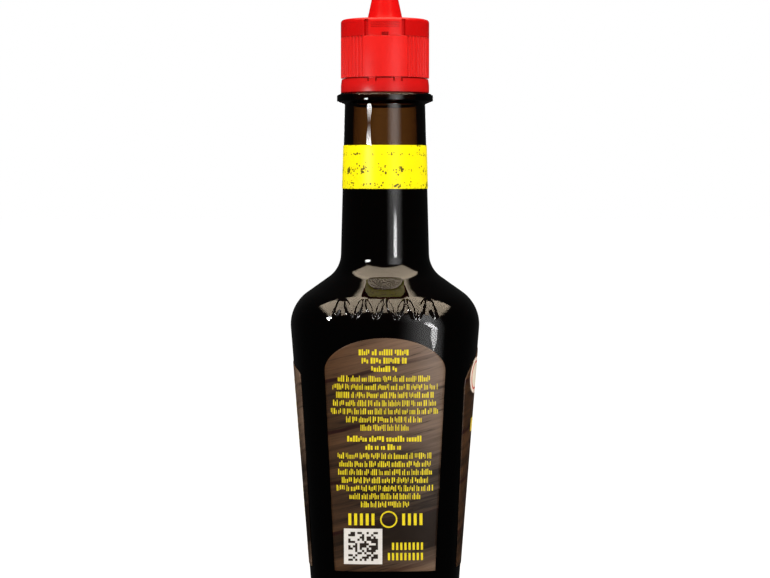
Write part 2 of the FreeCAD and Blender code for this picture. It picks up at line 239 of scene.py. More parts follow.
# %% Sizes of the glass
base = Vector((18.1, 0.0))
body = Vector((23.82, 73.9))
neck = Vector((11.11, 83.0))
neck_top = Vector((9.99, 123.75))
heel_radius, shoulder_radius, neck_radius = 4.0, 9.3, 7.1
body_wall, neck_wall, base_thickness = 2.3, 2.2, 4.5
pushup_rim, pushup_depth = 12.5, 2.0
cap_radius, seat_z, parting_z = reach_of("closure")
collar_radius = cap_radius + 0.97
finish_radius = cap_radius - 1.55
finish_top_z = parting_z - 1.2
bore_radius = finish_radius - 1.62
fill_z = reach_of("sauce")[2]
print(f"cap radius {cap_radius:.2f}, seat {seat_z:.2f}, parting {parting_z:.2f}, level {fill_z:.2f}")

# %% Outline helpers
def rounded(corners, arc_step=0.7, line_step=5.0):
    """Points along (half width, height, radius) corners, with an arc of that radius at each."""
    points = []
    for i, (half, z, radius) in enumerate(corners):
        here = Vector((half, z))
        arc = [here]
        if radius > 0:
            before = (Vector(corners[i - 1][:2]) - here).normalized()
            after = (Vector(corners[i + 1][:2]) - here).normalized()
            opening = before.angle(after) / 2
            centre = here + (before + after).normalized() * radius / math.sin(opening)
            first = here + before * radius / math.tan(opening) - centre
            last = here + after * radius / math.tan(opening) - centre
            turn = math.atan2(first.x * last.y - first.y * last.x, first.dot(last))
            steps = max(3, round(abs(turn) * radius / min(arc_step, radius / 3)))
            turns = [(math.cos(turn * k / steps), math.sin(turn * k / steps)) for k in range(steps + 1)]
            arc = [centre + Vector((first.x * c - first.y * s, first.x * s + first.y * c))
                   for c, s in turns]
        if points:
            start = points[-1]
            count = max(1, math.ceil((arc[0] - start).length / line_step))
            points += [start.lerp(arc[0], k / count) for k in range(1, count)]
        points += arc
    return points


def moved_in(p, q, wall):
    """Two points of a line of the drawing, moved towards the axis by a wall's thickness."""
    across = Vector((-(q - p).y, (q - p).x)).normalized() * wall
    return p + across, q + across


def meeting(p, q, r, s):
    """Where the line through p and q meets the line through r and s."""
    d, e = q - p, s - r
    t = ((r.x - p.x) * e.y - (r.y - p.y) * e.x) / (d.x * e.y - d.y * e.x)
    return p + d * t


def at_height(line, z):
    """Half width of a line of the drawing at height z."""
    low, high = line
    return low.x + (high.x - low.x) * (z - low.y) / (high.y - low.y)


def wall_lines(inset_body, inset_neck):
    """Body and neck lines moved in by a wall, and the corners between them and the shoulder."""
    side = moved_in(base, body, inset_body)
    slope = moved_in(body, neck, inset_body)
    upright = moved_in(neck, neck_top, inset_neck)
    return side, meeting(*side, *slope), meeting(*slope, *upright), upright


# %% How square each section is
square_z = body.y - 3.9   # the flat sides end here
round_z = neck.y + 3.0    # and the neck is round from here on
foot_power = 2.2          # how fast the corners tighten towards the foot


def squareness(z):
    """Exponent of the section at height z: 2 is a circle, 4 is nearly a square."""
    if z >= square_z:
        share = min(max((round_z - z) / (round_z - square_z), 0), 1)
        return 2 + share * share * (3 - 2 * share)
    return 3 + ((square_z - max(z, 0)) / square_z) ** foot_power


print("squareness at foot, corner and neck:", [round(squareness(z), 2) for z in (0, body.y, neck.y, round_z)])


# %% Inside and outside of the drawing
def inside_corners(into_wall=0.0):
    """Cavity from its floor up to the bore."""
    side, shoulder, foot, upright = wall_lines(body_wall - into_wall, neck_wall - into_wall)
    floor_z = base_thickness - into_wall
    return [(0.0, floor_z, 0), (at_height(side, floor_z), floor_z, 5.0),
            (*shoulder, shoulder_radius - body_wall), (*foot, neck_radius + neck_wall),
            (at_height(upright, neck_top.y), neck_top.y, 2.0), (bore_radius + into_wall, seat_z, 2.0)]


def glass_corners():
    """The whole closed drawing of the glass."""
    side, shoulder, foot, upright = wall_lines(0.0, 0.0)
    rim_top_z = seat_z - 0.6
    outside = [(at_height(side, 0.0), 0.0, heel_radius), (*shoulder, shoulder_radius),
               (*foot, neck_radius), (*neck_top, 0.25), (collar_radius, rim_top_z - 1.45, 0.35),
               (collar_radius, rim_top_z, 0.35), (cap_radius, seat_z, 0.2),
               (finish_radius, seat_z, 0.2), (finish_radius, finish_top_z, 0.3),
               (bore_radius, finish_top_z, 0.3)]
    return outside + inside_corners()[::-1]


def base_dome(steps=9):
    """The hollow that lifts the middle of the base: part of a ball, up to the bearing ring."""
    ball = (pushup_rim ** 2 + pushup_depth ** 2) / (2 * pushup_depth)
    widths = [pushup_rim * k / steps for k in range(steps + 1)]
    return [Vector((w, pushup_depth - ball + math.sqrt(ball * ball - w * w))) for w in widths]


def closer(points, low, high, step):
    """Adds points where the outside rises between two heights, for fine relief."""
    outside_from = bore_radius + 4
    out = [points[0]]
    for p in points[1:]:
        start = out[-1]
        count = 1
        if p.x > outside_from and p.y > start.y and start.y < high and p.y > low:
            count = max(1, math.ceil((p - start).length / step))
        out += [start.lerp(p, k / count) for k in range(1, count + 1)]
    return out


dome = base_dome()
relief_low, relief_high, relief_step = 70.4, 78.0, 0.16
outline = rounded([(pushup_rim, 0.0, 0)] + glass_corners())
outline = dome[:-1] + closer(outline, relief_low, relief_high, relief_step)
outline_squareness = [2.0 if i < len(dome) else squareness(p.y) for i, p in enumerate(outline)]
print("glass outline:", len(outline), "points")

# %% [markdown]
# ## The skin tree
# Across the body the glass is a rounded square, and up the neck a circle. One rule gives both: the
# superellipse |x/a|^n + |y/a|^n = 1, where a is the half width at that height and n says how square
# it is. A Geometry Nodes tree lays a grid round the bottle, one row for each point of the outline,
# and puts every vertex where the rule says. The same tree with n = 2 turns round parts, such as the
# cap, and an extra formula may press relief into the skin or raise it. Crowding gathers the columns
# on the two faces that carry fine relief.

# %% The skin tree
merge_gap = 0.002   # points nearer than this become one


def position(tree):
    """Place of each point, as a vector."""
    return tree.nodes.new("GeometryNodeInputPosition").outputs[0]


def attribute(tree, label):
    """A number that the points carry under a name."""
    return add_node(tree, "GeometryNodeInputNamedAttribute", {"Name": label}).outputs[0]


def merged(tree, geometry):
    """Closes the seam and the poles of a skin."""
    return add_node(tree, "GeometryNodeMergeByDistance",
                    {"Geometry": geometry, "Distance": merge_gap}).outputs[0]


def by_row(tree, source, row, label=None):
    """A number of the outline at a grid's row: a named attribute, or its position."""
    value = attribute(tree, label) if label else position(tree)
    found = add_node(tree, "GeometryNodeSampleIndex", {"Geometry": source, "Value": value, "Index": row},
                     data_type="FLOAT" if label else "FLOAT_VECTOR", clamp=True)
    return Field(tree, found.outputs[0])


def grid_by_rows(tree, columns, rows):
    """A grid of the given columns and rows, with each vertex's column and row as fields."""
    grid = add_node(tree, "GeometryNodeMeshGrid", {"Vertices X": columns + 1, "Vertices Y": rows})
    index = Field(tree, tree.nodes.new("GeometryNodeInputIndex").outputs[0])
    column = ((index + 0.5) / rows).math("FLOOR")
    return grid.outputs["Mesh"], column, index - column * rows


def moved_to(tree, geometry, position=None, offset=None):
    return add_node(tree, "GeometryNodeSetPosition",
                    {"Geometry": geometry, "Position": position, "Offset": offset}).outputs[0]


def skin_tree(name, relief=None, raised=None):
    """Tree that lays a rounded-square skin over an outline of (half width, 0, height) points."""
    tree, given = shape_tree(name, Columns=480, Rows=100, Crowding=0.0, Material=None)
    points = given["Geometry"]
    mesh, column, row = grid_by_rows(tree, given["Columns"], given["Rows"])
    half, _, z = pieces_of(tree, by_row(tree, points, row))
    power = by_row(tree, points, row, "squareness")
    even = column / given["Columns"] * (2 * math.pi)
    angle = even + (even * 2).math("SINE") * given["Crowding"]
    if relief:
        half = relief(angle, half, z)
    across, along = angle.math("COSINE"), angle.math("SINE")
    reach = half / (across.abs() ** power + along.abs() ** power) ** (1 / power)
    mesh = moved_to(tree, mesh, place(tree, reach * across, reach * along, z))
    if raised:
        normal = tree.nodes.new("GeometryNodeInputNormal").outputs[0]
        here = position(tree)
        outward = add_node(tree, "ShaderNodeVectorMath", {0: normal, 1: here}, operation="DOT_PRODUCT")
        height = raised(here, by_row(tree, points, row, "run"))
        height = height * Field(tree, outward.outputs["Value"]).math("SIGN")
        push = add_node(tree, "ShaderNodeVectorMath", {0: normal, "Scale": height}, operation="SCALE")
        mesh = moved_to(tree, mesh, offset=push.outputs[0])
    end_tree(tree, merged(tree, mesh), given["Material"])
    return tree


def runs(points):
    """Distance along an outline at each of its points."""
    return list(accumulate(((q - p).length for p, q in zip(points, points[1:])), initial=0.0))


def skinned(name, tree, points, material, powers=None, columns=480, crowding=0.0, sharp_deg=None):
    """Runs a skin tree over an outline and shades the mesh smooth, but for sharp edges."""
    start = loose_points(name, [(p.x, 0.0, p.y) for p in points],
                         squareness=powers or [2.0] * len(points), run=runs(points))
    piece = facing_out(run_tree(name, start, tree, columns=columns, rows=len(points),
                                crowding=crowding, material=material))
    piece.data.shade_smooth()
    if sharp_deg is not None:
        piece.data.set_sharp_from_angle(angle=math.radians(sharp_deg))
    return piece

# %% [markdown]
# ## Finishes: shared helpers
# Every finish is one Principled shader with nodes that vary it. The patterns read Object
# coordinates, which a Mapping node turns into millimetres, so that a grain or a speck can be given
# its real size. A number that is the same all over a piece is set on the shader's own socket.

# %% Material helpers
def material_with(name, roughness, specular=0.5, **settings):
    """A material with one Principled shader; further settings are named as its sockets."""
    material = bpy.data.materials.new(name)
    material.use_nodes = True
    shader = material.node_tree.nodes["Principled BSDF"]
    settings.update({"Roughness": roughness, "Specular IOR Level": specular})
    for label, value in settings.items():
        shader.inputs[label].default_value = value
    return material, material.node_tree, shader


def object_mm(tree, squeeze=(1, 1, 1)):
    """Object coordinates in millimetres, stretched by an amount on each axis."""
    source = tree.nodes.new("ShaderNodeTexCoord").outputs["Object"]
    scale = tuple(s / MM for s in squeeze)
    return add_node(tree, "ShaderNodeMapping", {"Vector": source, "Scale": scale}).outputs[0]


def noise(tree, where, scale, detail=2.0, roughness=0.5):
    node = add_node(tree, "ShaderNodeTexNoise", {"Vector": where, "Scale": scale, "Detail": detail,
                                                 "Roughness": roughness})
    return Field(tree, node.outputs["Fac"])


def blended(tree, share, first, second):
    """A colour between two colours; each is three numbers or a socket."""
    node = add_node(tree, "ShaderNodeMix", {0: share}, data_type="RGBA")
    for socket, colour in ((node.inputs[6], first), (node.inputs[7], second)):
        connect(tree, (*colour, 1.0) if isinstance(colour, tuple) else colour, socket)
    return node.outputs[2]


def coloured(tree, shader, colour):
    """Links a colour to a shader."""
    tree.links.new(colour, shader.inputs["Base Color"])


def dented(tree, shader, height, depth_mm, strength=1.0):
    """Bump of a given depth on a shader."""
    node = add_node(tree, "ShaderNodeBump", {"Height": height, "Distance": depth_mm * MM,
                                             "Strength": strength})
    tree.links.new(node.outputs["Normal"], shader.inputs["Normal"])


# %% [markdown]
# ## Amber glass
# Amber glass takes out blue light first and red last, and the longer the way through it, the deeper
# the colour: thin walls glow orange and the edges turn black. A tint on the surface can't do that,
# so the colour is in the volume. The absorption is set for a wall of about two millimetres. A very
# weak wave in the surface stands for the skin of blown glass, which is never quite flat.

# %% Amber glass finish
def amber_glass():
    material, tree, shader = material_with("amber_glass", 0.0, **{
        "Base Color": (1, 1, 1, 1), "IOR": 1.5, "Transmission Weight": 1.0})
    wave = noise(tree, object_mm(tree, (1, 1, 0.6)), 0.12, detail=1.0)
    dented(tree, shader, wave, 0.05, strength=0.6)
    depth = add_node(tree, "ShaderNodeVolumeAbsorption",
                     {"Color": (0.52, 0.34, 0.05, 1.0), "Density": 1220.0})
    tree.links.new(depth.outputs[0], tree.nodes["Material Output"].inputs["Volume"])
    return material


# %% [markdown]
# ## The ornament on the two shoulders
# Two shoulders carry a row of raised grains that lean left and right in turn. Each grain is a long
# oval, flat on top with a soft edge. It is pressed out of the same skin, not added as another mesh,
# because two glass shapes that cross would bend the light twice.

# %% Raised grains
grain_count, grain_pitch, grain_z = 10, 2.5, body.y + 0.4
grain_half_length, grain_half_width, grain_proud, grain_edge = 3.2, 0.8, 0.45, 0.42
grain_lean = math.radians(17)


def run_at(points, z):
    """Distance along an outline where it first rises past a height."""
    for p, q, run in zip(points, points[1:], runs(points)):
        if p.y <= z < q.y:
            return run + (z - p.y) / (q.y - p.y) * (q - p).length


shoulder_run = run_at(outline, grain_z)
print("grains lie", round(shoulder_run, 2), "mm along the outline")


def raised_grains(here, run):
    """How far the skin stands out at a point, from its place along the row and up the shoulder."""
    x, y, _ = pieces_of(run.tree, here)
    x = x * -y.math("SIGN")
    cell = (x / grain_pitch + grain_count / 2).math("FLOOR")
    u = x - (cell - (grain_count - 1) / 2) * grain_pitch
    v = run - shoulder_run
    lean = (cell.math("FLOORED_MODULO", 2.0) * 2 - 1) * grain_lean
    c, s = lean.math("COSINE"), lean.math("SINE")
    wide = (u * c + v * s) / grain_half_width
    tall = (v * c - u * s) / grain_half_length
    inside = 1 - (wide * wide + tall * tall).math("SQRT")
    grain = (inside / grain_edge).clamped().smooth() * grain_proud
    return grain * x.abs().below(grain_count * grain_pitch / 2) * y.abs().above(8.0)


# %% The glass bottle
glass_tree = skin_tree("rounded_square_glass", raised=raised_grains)
bottle = skinned("bottle_glass", glass_tree, outline, amber_glass(), outline_squareness,
                 columns=480, crowding=0.34)

# %% [markdown]
# ## The sauce
# The sauce is one dark body that fills the cavity up to its level. Glass and liquid must share their
# border: with a gap of air between them, the border would shine like a mirror. So the sauce is drawn
# a little larger than the cavity and reaches just into the wall.

# %% Sauce
def dark_sauce():
    material, tree, shader = material_with("dark_sauce", 0.3, 0.06)
    cloud = noise(tree, object_mm(tree), 0.08, detail=3.0)
    coloured(tree, shader, blended(tree, cloud, (0.003, 0.0012, 0.0006), (0.007, 0.003, 0.0014)))
    return material


def cut_at(points, level, rim=0.985):
    """The part of an outline below a level, closed at the level, with a row near its rim."""
    kept = [p for p in points if p.y < level]
    after = points[len(kept)]
    share = (level - kept[-1].y) / (after.y - kept[-1].y)
    edge = kept[-1].lerp(after, share)
    return kept + [edge, Vector((edge.x * rim, level)), Vector((0.0, level))]


into_wall = 0.12
sauce_corners = inside_corners(into_wall) + [(bore_radius + into_wall, finish_top_z, 0)]
sauce_outline = cut_at(rounded(sauce_corners), fill_z)
plain_skin = skin_tree("rounded_square_skin")
sauce = skinned("sauce_body", plain_skin, sauce_outline, dark_sauce(),
                [squareness(p.y) for p in sauce_outline], columns=240, sharp_deg=40)

# %% [markdown]
# ## The red closure
# The closure is moulded in one piece: a tamper band that stays on the neck, a slit with small
# bridges over it, and a skirt with fine grooves for the fingers, smooth at the front. It is turned
# by the same skin tree with a round section. Grooves, slit and cuts are pressed in by a formula of
# the angle and the height, because they repeat round the axis.

# %% Relief helpers for turned parts
front, back = 1.5 * math.pi, 0.5 * math.pi


def swing(angle, centre):
    """Angle from a centre, between half a turn back and half a turn on."""
    return (angle - centre).math("WRAP", math.pi, -math.pi)


def steps_at(points, levels, gap=0.012):
    """Doubles the rows of an upright outline at the given heights, so that relief has crisp ends."""
    out = [points[0]]
    for p in points[1:]:
        start = out[-1]
        cuts = sorted(z for level in levels for z in (level - gap, level + gap) if start.y < z < p.y)
        out += [start.lerp(p, (z - start.y) / (p.y - start.y)) for z in cuts] + [p]
    return out


# %% Closure sizes and relief
slit_z = seat_z + 3.35
skirt_z = slit_z + 0.3
rib_pitch, rib_count, groove_half, groove_depth = math.radians(5.5), 55, math.radians(1.8), 0.32
bridge_angle, bridge_half = math.radians(17.2), 1.75 / 2 / cap_radius
tick_angle, tick_height = 0.28 / cap_radius, 0.75
slit_depth, band_bevel = 1.0, 0.2


def closure_relief(angle, half, z):
    """Half width of the closure after its grooves, slit and cuts."""
    from_back = swing(angle, back)
    groove = (from_back / rib_pitch + 0.5).math("FLOOR")
    across = (from_back - groove * rib_pitch) / groove_half
    grooves = (1 - across * across).math("MAXIMUM", 0.0) * groove.abs().below(rib_count // 2 + 0.5)
    pressed = grooves * groove_depth * z.above(skirt_z)
    open_slit = 1.0
    for centre in (front, back):
        away = (swing(angle, centre).abs() - bridge_angle).abs()
        open_slit = away.above(bridge_half) * open_slit
        tick = away.between(bridge_half, bridge_half + tick_angle)
        pressed = pressed + tick * z.between(slit_z - tick_height, slit_z) * slit_depth
    pressed = pressed + open_slit * z.between(slit_z, skirt_z) * slit_depth
    return half - pressed * half.above(cap_radius - 2 * band_bevel)


print(f"{rib_count} grooves above {skirt_z:.2f}, slit from {slit_z:.2f}")


# %% Satin red plastic
def red_plastic(name, deep, bright, roughness, pebble, specular):
    """Moulded plastic: cloudy colour and a fine pebble that also varies the gloss."""
    material, tree, shader = material_with(name, roughness, specular)
    colour = blended(tree, noise(tree, object_mm(tree), 0.35, detail=3.0), deep, bright)
    grain = noise(tree, object_mm(tree), 9.0)
    connect(tree, grain * 0.12 + (roughness - 0.06), shader.inputs["Roughness"])
    dented(tree, shader, grain, pebble)
    return material, tree, shader, colour


# The tamper band's deeper red is painted shade.
satin_deep, satin_bright, shaded_band_red = (0.63, 0.005, 0.004), (0.70, 0.008, 0.006), (0.54, 0.001, 0.001)


def satin_red():
    """Satin skirt over a tamper band painted a deeper red for the shade its glossy sides show."""
    material, tree, shader, colour = red_plastic("satin_red", satin_deep, satin_bright, 0.32, 0.004, 0.35)
    z = pieces_of(tree, object_mm(tree))[2]
    # Painted shade: below the slit the band is a deeper red than the skirt of the same moulding.
    coloured(tree, shader, blended(tree, z.above(slit_z, 0.05), shaded_band_red, colour))
    return material


# %% The closure
inner_radius, band_radius, slit_edge = cap_radius - 1.4, cap_radius - band_bevel, 0.02
closure_corners = [(0.0, finish_top_z, 0), (inner_radius, finish_top_z, 0.2), (inner_radius, seat_z, 0.1),
                   (cap_radius, seat_z, 0.15), (cap_radius, slit_z - 1.5, 0), (band_radius, slit_z, 0),
                   (band_radius, skirt_z - slit_edge, 0), (cap_radius, skirt_z + slit_edge, 0),
                   (cap_radius, parting_z, 0.12), (0.0, parting_z, 0)]
closure_outline = steps_at(rounded(closure_corners), [slit_z - tick_height, slit_z, skirt_z])
closure_tree = skin_tree("turned_closure", relief=closure_relief)
closure = skinned("closure_skirt", closure_tree, closure_outline, satin_red(), columns=1080, sharp_deg=38)

# %% [markdown]
# ## The lid
# Over the skirt sits a glossy lid with a pointed cover for the pouring hole. At the front a satin
# tab, with three fine lines and a thumb notch, stands between two slots. The lid is turned in the
# same way, and its slots, lines and notch are pressed in.

# %% Lid
lid_top_z = parting_z + 4.45
cone_foot, cone_height, cone_slope = 4.32, 13.15, math.tan(math.radians(12))
tab_half, slot_wide = math.radians(21.8), math.radians(5.2)
notch_half, notch_top = 0.8 / cap_radius, parting_z + 0.85
slot_top = lid_top_z - 0.4
line_half, line_reach = 0.1, tab_half * 0.85
tab_lines = [lid_top_z - 1.25 - 0.5 * k for k in range(3)]
slot_depth, notch_depth, line_depth, no_limit = 0.45, 0.7, 0.15, 99
print(f"lid {parting_z:.2f} to {lid_top_z:.2f}, cone up to {lid_top_z + cone_height:.2f}")


def lid_relief(angle, half, z):
    """Half width of the lid after its slots, lines and notch."""
    away = swing(angle, front).abs()
    slot = away.between(tab_half, tab_half + slot_wide) * z.between(parting_z - 1, slot_top)
    notch = away.below(notch_half) * z.between(parting_z - 1, notch_top)
    limit = cap_radius - slot * slot_depth - notch * notch_depth
    for level in tab_lines:
        limit = limit - away.below(line_reach) * z.between(level - line_half, level + line_half) * line_depth
    ring = half.above(cone_foot + 1.0)
    return half.math("MINIMUM", limit * ring + (1 - ring) * no_limit)


tip_half = cone_foot - cone_slope * cone_height
tip_z = lid_top_z + cone_height
lid_corners = [(0.0, parting_z, 0), (cap_radius, parting_z, 0.1), (cap_radius, lid_top_z, 0.8),
               (cone_foot + cone_slope * 0.4, lid_top_z, 0.4), (tip_half, tip_z, tip_half * 0.9),
               (0.0, tip_z, 0)]
lid_levels = [slot_top, notch_top] + [level + d for level in tab_lines for d in (-line_half, line_half)]
lid_outline = steps_at(rounded(lid_corners, arc_step=0.3, line_step=2.0), lid_levels)
lid_tree = skin_tree("turned_lid", relief=lid_relief)


def lid_red():
    """Glossy red, satin on the tab like the skirt, and painted brighter on the cone for the top light it
    catches.
    """
    deep, bright, lit_cone_red = (0.48, 0.0006, 0.0006), (0.53, 0.0009, 0.0008), (0.60, 0.0007, 0.0007)
    material, tree, shader, colour = red_plastic("glossy_red", deep, bright, 0.26, 0.0015, 0.28)
    x, y, z = pieces_of(tree, object_mm(tree))
    tab = (x / cap_radius).abs().below(math.sin(tab_half), 0.01)
    tab = tab * y.below(-cap_radius * 0.8) * z.below(lid_top_z - 0.3, 0.1)
    # Painted light: the cone's red is brighter than the sides', for the light from above on its slope.
    colour = blended(tree, z.above(lid_top_z + 0.4, 0.6), colour, lit_cone_red)
    coloured(tree, shader, blended(tree, tab, colour, satin_deep))
    return material


lid = skinned("closure_lid", lid_tree, lid_outline, lid_red(), columns=1080, sharp_deg=38)

# %% [markdown]
# ## The neck band
# A band of yellow film is shrunk round the neck, just over the level of the sauce. It is the neck's
# own outline moved out by the film's thickness, closed into a ring. Dark specks are scattered over
# its print, some alone and some in clusters: a cell pattern gives the specks and a slow noise
# decides where they gather.

# %% Neck band
_, band_low_z, band_top_z = reach_of("neck_band")
speck_rows = ((0.08, 1.3), (0.42, 1.5), (0.79, 0.5), (0.99, 0.4))   # (share of the height, half height)


def speckled_film():
    """Yellow film, whose specks gather in four rows and in knots on them."""
    material, tree, shader = material_with("yellow_film", 0.34, 0.15)
    where = object_mm(tree)
    z = pieces_of(tree, where)[2]
    cells = add_node(tree, "ShaderNodeTexVoronoi", {"Vector": where, "Scale": 1.9})
    near = Field(tree, cells.outputs["Distance"])
    chance, size, _ = pieces_of(tree, cells.outputs["Color"])
    gather = noise(tree, object_mm(tree, (1, 1, 1.2)), 0.34, detail=1.0)
    knots = noise(tree, object_mm(tree, (1, 1, 0.8)), 0.42, detail=0.0)
    rows = 0.0
    for share, spread in speck_rows:
        level = band_low_z + (band_top_z - band_low_z) * share
        rows = (1 - (z - level).abs() / spread).clamped() + rows
    rows = rows.clamped()
    knot = (knots - 0.57).clamped() * 9 * rows
    density = rows * (gather - 0.28).clamped() * 1.9 + knot + 0.03
    speck = (density - chance).above(0.0) * (size * 0.24 + 0.24 + knot * 0.3 - near).above(0.0, soft=0.10)
    tone = blended(tree, noise(tree, where, 0.3), (0.87, 0.83, 0.0), (0.92, 0.89, 0.0))
    coloured(tree, shader, blended(tree, speck * 0.92, tone, (0.035, 0.025, 0.008)))
    dented(tree, shader, noise(tree, object_mm(tree, (1, 1, 0.5)), 0.5), 0.02)
    return material


film, film_gap = 0.12, 0.02
*_, neck_line = wall_lines(-film_gap, -film_gap)
band_low, band_top = at_height(neck_line, band_low_z), at_height(neck_line, band_top_z)
band_corners = [(band_low, band_low_z, 0), (band_low + film, band_low_z, 0.03),
                (band_top + film, band_top_z, 0.03), (band_top, band_top_z, 0), (band_low, band_low_z, 0)]
band = skinned("neck_film", plain_skin, rounded(band_corners, line_step=1.5), speckled_film(),
               columns=240, sharp_deg=50)

# %% [markdown]
# ## Wrapping paper and print on the glass
# The labels and their print are drawn flat first, in millimetres across and up, and are then
# wrapped on the glass by the same superellipse rule. That keeps the drawing simple, and paper and
# print can't float off or sink in. The flat place is stored as a UV map before the wrap, so
# that the printed pattern follows the paper round the bottle.

# %% The wrap
UV_SCALE = 0.01   # one unit of the UV map is 100 mm of paper


def wrapped(tree, flat, lift, side):
    """Wraps flat geometry (x across, z up, -y out) on the side that faces -Y, then turns it."""
    x, depth, z = pieces_of(tree, position(tree))
    half = z * ((body.x - base.x) / body.y) + base.x + lift - depth
    power = ((square_z - z) * (1 / square_z)).math("MAXIMUM", 0.0) ** foot_power + 3
    y = -((half ** power - x.abs() ** power) ** (1 / power))
    bent = moved_to(tree, flat, place(tree, x, y, z))
    return add_node(tree, "GeometryNodeTransform",
                    {"Geometry": bent, "Rotation": place(tree, 0.0, 0.0, side)}).outputs[0]


def label_tree():
    """Tree that makes an arched sheet from rows of (half width, 0, height) and wraps it."""
    tree, given = shape_tree("wrapped_label", Columns=60, Rows=30, Lift=0.15, Side=0.0, Material=None)
    mesh, column, row = grid_by_rows(tree, given["Columns"], given["Rows"])
    half, _, z = pieces_of(tree, by_row(tree, given["Geometry"], row))
    across = (column / given["Columns"] * 2 - 1) * half
    flat = merged(tree, moved_to(tree, mesh, place(tree, across, 0.0, z)))
    x, _, up = pieces_of(tree, position(tree))
    flat_place = place(tree, x * UV_SCALE + 0.5, up * UV_SCALE, 0.0)
    stored = add_node(tree, "GeometryNodeStoreNamedAttribute",
                      {"Geometry": flat, "Name": "UVMap", "Value": flat_place},
                      data_type="FLOAT2", domain="CORNER")
    end_tree(tree, wrapped(tree, stored.outputs[0], given["Lift"], given["Side"]), given["Material"])
    return tree


sheet_tree = label_tree()

# %% Label outlines
label_low_z, label_lift, paper = 10.3, 0.14, 0.11


def arch_rows(bottom, top, rise, drop, upright_rows=26, arch_steps=18):
    """Rows of (half width, height) of an arched label; its top lies a drop below the shoulder."""
    spring = body.y - drop - rise
    foot, corner = Vector((bottom, label_low_z)), Vector((top, spring))
    turns = [0.5 * math.pi * k / arch_steps for k in range(arch_steps + 1)]
    return ([foot.lerp(corner, k / upright_rows) for k in range(upright_rows)]
            + [Vector((top * math.cos(t), spring + rise * math.sin(t))) for t in turns])


def label_sheet(name, rows, side_deg, material):
    """One paper label on the side at that angle, with the paper's thickness inwards."""
    points = loose_points(name, [(p.x, 0.0, p.y) for p in rows])
    sheet = run_tree(name, points, sheet_tree, columns=56, rows=len(rows), lift=label_lift,
                     side=math.radians(side_deg), material=material)
    mesh = sheet.data
    polygon = mesh.polygons[len(mesh.polygons) // 2]
    if polygon.normal.dot(polygon.center - Vector((0, 0, polygon.center.z))) < 0:
        mesh.flip_normals()
    mesh.shade_smooth()
    thick = sheet.modifiers.new("paper", "SOLIDIFY")
    thick.thickness = paper * MM
    thick.offset = -1
    print(f"{name}: {len(mesh.polygons)} faces, top {max(v.co.z for v in mesh.vertices) / MM:.1f}")
    return sheet


# %% [markdown]
# ## The wood print
# The labels are printed with old boards that rise to the right, a dark red line at each joint. The
# pattern reads the UV map, turned by the boards' lean. Each board gets its own tone from a random
# number of its row. Long thin noise makes the grain. The paper is varnished, so it has a soft gloss.

# %% Wood print finish
def flat_mm(tree):
    """Flat place on a label in millimetres: across from its middle, and up from the table."""
    source = tree.nodes.new("ShaderNodeTexCoord").outputs["UV"]
    return add_node(tree, "ShaderNodeMapping", {
        "Vector": source, "Location": (-0.5 / UV_SCALE, 0, 0),
        "Scale": (1 / UV_SCALE, 1 / UV_SCALE, 1)}).outputs[0]


board_lean, board_width = math.radians(14.5), 12.2
# The grey wood tone is painted sheen, mixed in towards the right.
dark_wood, brown_wood, painted_sheen_grey = (0.014, 0.0065, 0.003), (0.172, 0.080, 0.031), (0.194, 0.136, 0.105)
crack_colour, joint_colour = (0.012, 0.006, 0.004), (0.020, 0.0025, 0.002)


def wood_colour(tree, where):
    """Colour and grain height of the printed boards."""
    lean = {"Vector": where, "Rotation": (0, 0, -board_lean)}
    turned = add_node(tree, "ShaderNodeMapping", lean).outputs[0]
    along, across, _ = pieces_of(tree, turned)
    level = (across + noise(tree, turned, 0.10, detail=1.0) * 1.2 + 2.0) / board_width
    board = level.math("FLOOR")
    dice = add_node(tree, "ShaderNodeTexWhiteNoise", {"W": board}, noise_dimensions="1D")
    tone = Field(tree, dice.outputs["Value"])
    long_grain = noise(tree, place(tree, along * 0.05, across * 0.7, board * 3.7), 1.0, 5.0, 0.65)
    fine = noise(tree, place(tree, along * 0.16, across * 3.2, board), 1.0, 3.0)
    shade = (long_grain - 0.5) * 1.2 + (fine - 0.5) * 0.35 + tone * 0.26 + 0.36

    # Painted light and shade: the print is lighter and greyer to the right and lighter at the top, where the
    # lamps' sheen falls, and darkest from 18 to 31 mm up, where that light gives out.
    side, up, _ = pieces_of(tree, where)
    low = ((53 - up) * (1 / 22.0)).clamped().smooth() - ((18 - up) * (1 / 6.0)).clamped()
    high = ((up - 50) * (1 / 18.0)).clamped()
    shade = shade + side * (1 - low * 1.3) * (1 / 70.0) - low * 0.46 + high * 0.14
    # Painted sheen: the light wood turns grey towards the right.
    light_wood_and_sheen = blended(tree, (side * (1 / 26.0) + 0.5).clamped(), brown_wood, painted_sheen_grey)
    colour = blended(tree, shade.clamped(), dark_wood, light_wood_and_sheen)
    crack = (fine * 0.4 + long_grain * 0.6).below(0.405, soft=0.04)
    colour = blended(tree, crack * 0.7, colour, crack_colour)
    joint = (level - board - 0.5).abs().above(0.462, soft=0.02) * (0.7 - side * (1 / 32.0)).clamped()
    return blended(tree, joint, colour, joint_colour), shade - joint


def wood_label(name):
    material, tree, shader = material_with(name, 0.40, 0.4)
    colour, height = wood_colour(tree, flat_mm(tree))
    coloured(tree, shader, colour)
    dented(tree, shader, height, 0.006)
    return material


wood = wood_label("wood_label")

# %% Labels on the two narrow sides and at the rear
small_rows = arch_rows(12.2, 14.5, 8.0, 6.5)
label_a = label_sheet("label_small_a", small_rows, 0, wood)
label_b = label_sheet("label_small_b", small_rows, 180, wood)
rear_rows = arch_rows(12.2, 14.4, 2.4, 13.9)
label_rear = label_sheet("label_rear_sheet", rear_rows, -90, wood)

